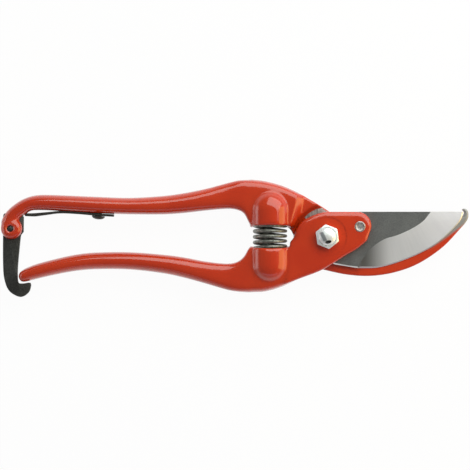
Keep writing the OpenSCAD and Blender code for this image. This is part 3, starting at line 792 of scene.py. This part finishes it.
leaf = piece("leaf_spring", black.material, rounded(leaf_form, 0.14, 40))
hand_over(leaf, "upper", "catch_steel", "catch_spring", angle=28)
stud_place = (
    Matrix.Translation((PIN.x + STUD[0], PIN.y + STUD[1] - LEAF_THICK, MID))
    @ Matrix.Rotation(radians(-5), 4, "Z")
    @ Matrix.Rotation(-pi / 2, 4, "X")
)
stem = [(0, 4.8), (1.62, 4.8), (1.62, -0.04)]
cap = [(3.05, -0.04), (3.25, -0.2), (3.1, -0.65), (2.5, -1.2), (1.5, -1.6), (0, -1.74)]
stud = piece("leaf_spring_stud", black.material, turned(stem + cap, stud_place))
hand_over(stud, "upper", "catch_steel", "catch_spring_rivet", angle=60)

# Studio: a white sweep of paper under the shears, in a pale room that is darker overhead. A large soft
# lamp hangs above and beyond them, with smaller ones at the right, at the left and on the near side. The
# camera looks straight down through a long lens.
paper = Finish("white paper", Base_Color=(0.92, 0.92, 0.92, 1), Roughness=0.9)
rays = paper.tree.nodes.new("ShaderNodeLightPath").outputs
seen = Reading(paper, rays["Is Camera Ray"]).most(Reading(paper, rays["Is Glossy Ray"]))
seen = seen.most(Reading(paper, rays["Is Transmission Ray"]))
glow = paper.node("ShaderNodeEmission", {}, {"Color": (1, 1, 1, 1), "Strength": 1})
lit = Reading(paper, paper.shader.outputs[0])
OWN_GLOW = 0.96  # the rest of what is seen of the paper keeps the shears' shadow
mixed = paper.node("ShaderNodeMixShader", {}, {0: seen * OWN_GLOW, 1: lit, 2: glow})
paper.tree.links.new(mixed.socket, paper.tree.nodes["Material Output"].inputs[0])
sweep = bmesh.new()
bmesh.ops.create_grid(sweep, x_segments=1, y_segments=1, size=4 * PER_METRE)
floor = piece("paper_sweep", paper.material, sweep)
just_under = Matrix.Translation((0, 0, -0.1))
floor.data.transform(Matrix.Scale(1 / PER_METRE, 4) @ just_under)


def soft_lamp(name, place, aim, size, glow, colour=(1, 1, 1)):
    """A rectangular lamp that is glow times as bright as white paper."""
    lamp = bpy.data.objects.new(name, bpy.data.lights.new(name, "AREA"))
    bpy.context.collection.objects.link(lamp)
    lamp.data.shape, lamp.data.size, lamp.data.size_y = "RECTANGLE", *size
    lamp.data.energy = glow * pi * size[0] * size[1]
    lamp.data.color = colour
    lamp.location = place
    lamp.rotation_euler = (Vector(place) - Vector(aim)).to_track_quat("Z", "Y").to_euler()


soft_lamp(
    "overhead_lamp",
    place=(0.25, 0.405, 0.385),
    aim=(0.1, 0.1, 0),
    size=(0.9, 0.62),
    glow=2.6,
    colour=(0.96, 1.01, 0.96),
)
soft_lamp(
    "right_lamp",
    place=(0.58, -0.06, 0.23),
    aim=(0, 0, 0.01),
    size=(0.5, 0.46),
    glow=2.4,
    colour=(1, 0.68, 0.24),
)
soft_lamp("left_lamp", place=(-0.7, -0.02, 0.12), aim=(-0.03, 0, 0.01), size=(0.5, 0.22), glow=1.5)
soft_lamp(
    "near_lamp",
    place=(-0.05, -0.6, 0.25),
    aim=(-0.05, 0, 0.01),
    size=(0.9, 0.12),
    glow=0.6,
    colour=(1, 0.8, 1.1),
)

world = bpy.data.worlds.new("pale_room")
bpy.context.scene.world = world
world.use_nodes = True
nodes, links = world.node_tree.nodes, world.node_tree.links
height = nodes.new("ShaderNodeSeparateXYZ")
links.new(nodes.new("ShaderNodeTexCoord").outputs["Generated"], height.inputs[0])
overhead = nodes.new("ShaderNodeMapRange")
overhead.interpolation_type = "SMOOTHSTEP"
links.new(height.outputs[2], overhead.inputs[0])
for socket, value in zip(("From Min", "From Max", "To Min", "To Max"), (0, 0.36, 0.75, 0.2)):
    overhead.inputs[socket].default_value = value
sight = nodes.new("ShaderNodeMath")
sight.operation = "MAXIMUM"
links.new(overhead.outputs[0], sight.inputs[0])
links.new(nodes.new("ShaderNodeLightPath").outputs["Is Camera Ray"], sight.inputs[1])
links.new(sight.outputs[0], nodes["Background"].inputs["Strength"])
nodes["Background"].inputs["Color"].default_value = (1, 1, 1, 1)

FRAME_WIDTH, LENS = 0.2308, 180
VIEW_CENTRE = (-0.045, 0.0008)
camera = bpy.data.objects.new("camera", bpy.data.cameras.new("camera"))
bpy.context.collection.objects.link(camera)
camera.data.lens = LENS
camera.location = (*VIEW_CENTRE, MID / PER_METRE + FRAME_WIDTH * LENS / camera.data.sensor_width)
bpy.context.scene.camera = camera
bpy.context.scene.view_settings.view_transform = "Standard"
